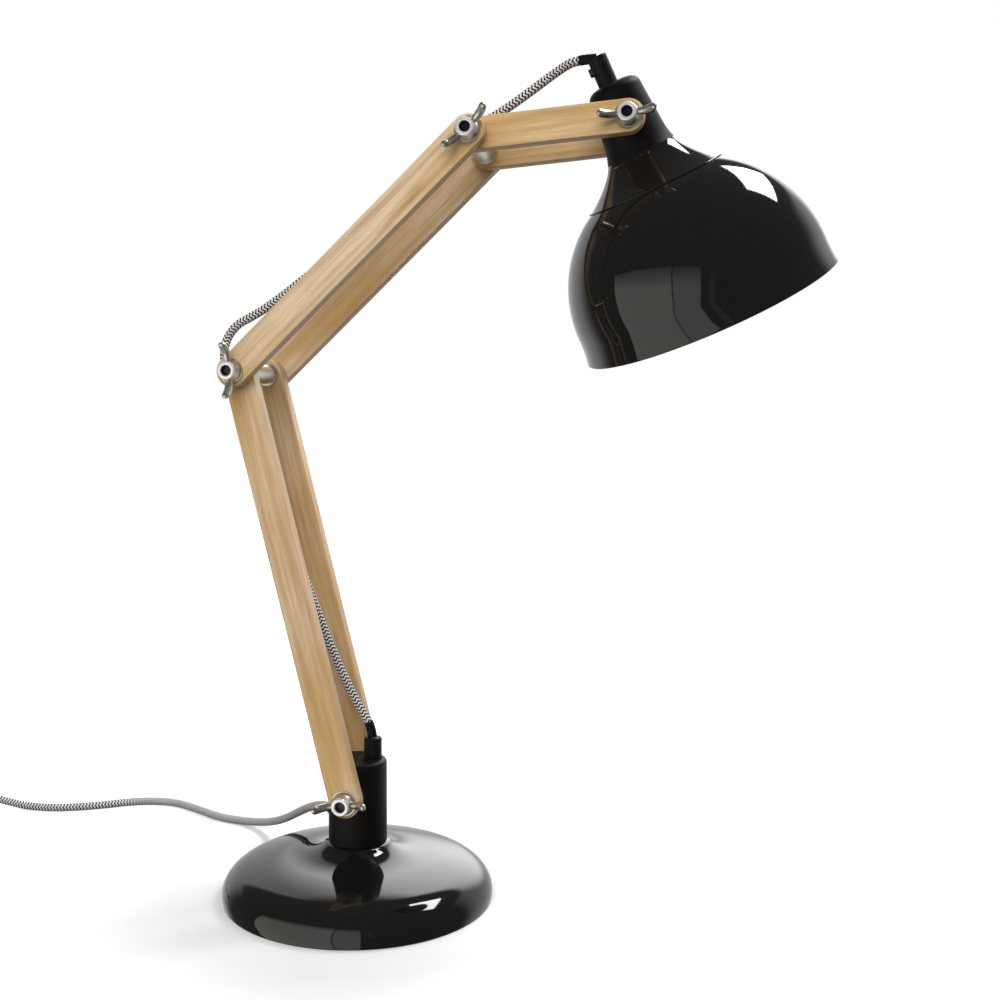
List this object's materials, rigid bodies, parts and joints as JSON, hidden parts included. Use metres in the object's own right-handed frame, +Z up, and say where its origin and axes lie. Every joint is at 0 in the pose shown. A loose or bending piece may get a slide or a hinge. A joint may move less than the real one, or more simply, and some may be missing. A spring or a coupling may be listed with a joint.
{
  "type": "table lamp",
  "caption": "Jointed table lamp: domed weighted base, pairs of wooden slats clamped by wing nuts at swivel joints, bowl shade on a tilting head, textile cord with switch and plug.",
  "frame": {"origin": "centre of the base's underside, on the table", "axes": "+Z up, +X in the arms' plane towards the shade, +Y to the rear along the joint bolts; the wing nuts face -Y"},
  "size_m": [0.8305, 0.2537, 0.5757],
  "materials": {
    "gloss_black": "gloss enamel",
    "matte_black": "matte",
    "black_fittings": "matte",
    "black_steel": "satin",
    "natural_wood": "clear matte lacquer",
    "zinc_steel": "zinc plated",
    "cast_ballast": "as cast",
    "felt": "felt",
    "textile_cord": "braided, black and white zigzag",
    "black_plastic": "satin",
    "white_plastic": "moulded",
    "contact_brass": "plain",
    "cap_metal": "plain",
    "bulb_glass": "frosted"
  },
  "bodies": {
    "base": {"base_shell": "gloss_black", "ballast_weight": "cast_ballast", "base_plate": "black_steel", "base_pad": "felt", "plate_screws": "zinc_steel", "stem": "matte_black", "stem_stud": "zinc_steel", "stem_nuts": "zinc_steel", "stem_washers": "zinc_steel", "stem_spacer": "zinc_steel", "terminal_block": "white_plastic", "side_gland": "black_fittings", "stem_gland": "black_fittings", "stem_friction_washers": "black_fittings", "arm_cord_base": "textile_cord", "mains_cord": "textile_cord", "mains_cord_leads": "textile_cord", "mains_coil": "textile_cord", "plug_body": "black_plastic", "plug_pins": "zinc_steel", "switch_base": "black_plastic", "switch_cover": "black_plastic", "switch_screws": "zinc_steel", "switch_contacts": "contact_brass"},
    "rocker": {"switch_rocker": "black_plastic"},
    "lower_arm": {"lower_arm_front": "natural_wood", "lower_arm_rear": "natural_wood", "base_bolt": "zinc_steel", "base_bolt_washer": "zinc_steel", "elbow_one_spacer": "zinc_steel", "elbow_one_spacer_washers": "zinc_steel"},
    "upper_arm": {"upper_arm_front": "natural_wood", "upper_arm_rear": "natural_wood", "elbow_one_bolt": "zinc_steel", "elbow_two_bolt": "zinc_steel", "elbow_bolt_washers": "zinc_steel", "arm_cord_elbow_one": "textile_cord"},
    "head_arm": {"head_arm_front": "natural_wood", "head_arm_rear": "natural_wood", "head_bolt": "zinc_steel", "head_bolt_washer": "zinc_steel", "elbow_two_spacer": "zinc_steel", "elbow_two_spacer_washers": "zinc_steel", "arm_cord_elbow_two": "textile_cord"},
    "head": {"socket_cover": "matte_black", "head_gland": "black_fittings", "gland_screw": "black_steel", "head_friction_washers": "black_fittings", "shade_neck": "gloss_black", "shade": "gloss_black", "lampholder": "black_plastic", "socket_contact": "contact_brass", "shade_ring": "black_steel", "bulb_glass": "bulb_glass", "bulb_cap": "cap_metal", "arm_cord_head": "textile_cord"},
    "base_nut": {"base_wing_nut": "zinc_steel"},
    "elbow_one_nut": {"elbow_one_wing_nut": "zinc_steel"},
    "elbow_two_nut": {"elbow_two_wing_nut": "zinc_steel"},
    "head_nut": {"head_wing_nut": "zinc_steel"}
  },
  "joints": [
    {"name": "base_pivot", "type": "hinge", "parent": "base", "child": "lower_arm", "pos_m": [0, 0, 0.075], "axis": [0, 1, 0], "range_deg": [-45, 40], "deforming": ["arm_cord_base"]},
    {"name": "elbow_one", "type": "hinge", "parent": "lower_arm", "child": "upper_arm", "pos_m": [-0.07485, 0, 0.36716], "axis": [0, 1, 0], "range_deg": [-60, 50], "deforming": ["arm_cord_elbow_one"]},
    {"name": "elbow_two", "type": "hinge", "parent": "upper_arm", "child": "head_arm", "pos_m": [0.08648, 0, 0.52112], "axis": [0, 1, 0], "range_deg": [-60, 40], "deforming": ["arm_cord_elbow_two"]},
    {"name": "head_tilt", "type": "hinge", "parent": "head_arm", "child": "head", "pos_m": [0.18802, 0, 0.5284], "axis": [0, 1, 0], "range_deg": [-90, 20], "deforming": ["arm_cord_head"]},
    {"name": "base_nut_turn", "type": "hinge", "parent": "lower_arm", "child": "base_nut", "pos_m": [0, 0, 0.075], "axis": [0, -1, 0], "range_deg": [0, 450]},
    {"name": "elbow_one_nut_turn", "type": "hinge", "parent": "upper_arm", "child": "elbow_one_nut", "pos_m": [-0.07485, 0, 0.36716], "axis": [0, -1, 0], "range_deg": [0, 450]},
    {"name": "elbow_two_nut_turn", "type": "hinge", "parent": "upper_arm", "child": "elbow_two_nut", "pos_m": [0.08648, 0, 0.52112], "axis": [0, -1, 0], "range_deg": [0, 450]},
    {"name": "head_nut_turn", "type": "hinge", "parent": "head_arm", "child": "head_nut", "pos_m": [0.18802, 0, 0.5284], "axis": [0, -1, 0], "range_deg": [0, 450]},
    {"name": "switch_rocker_tilt", "type": "hinge", "parent": "base", "child": "rocker", "pos_m": [-0.404, 0.12, 0.013], "axis": [0, 1, 0], "range_deg": [0, 22]}
  ]
}
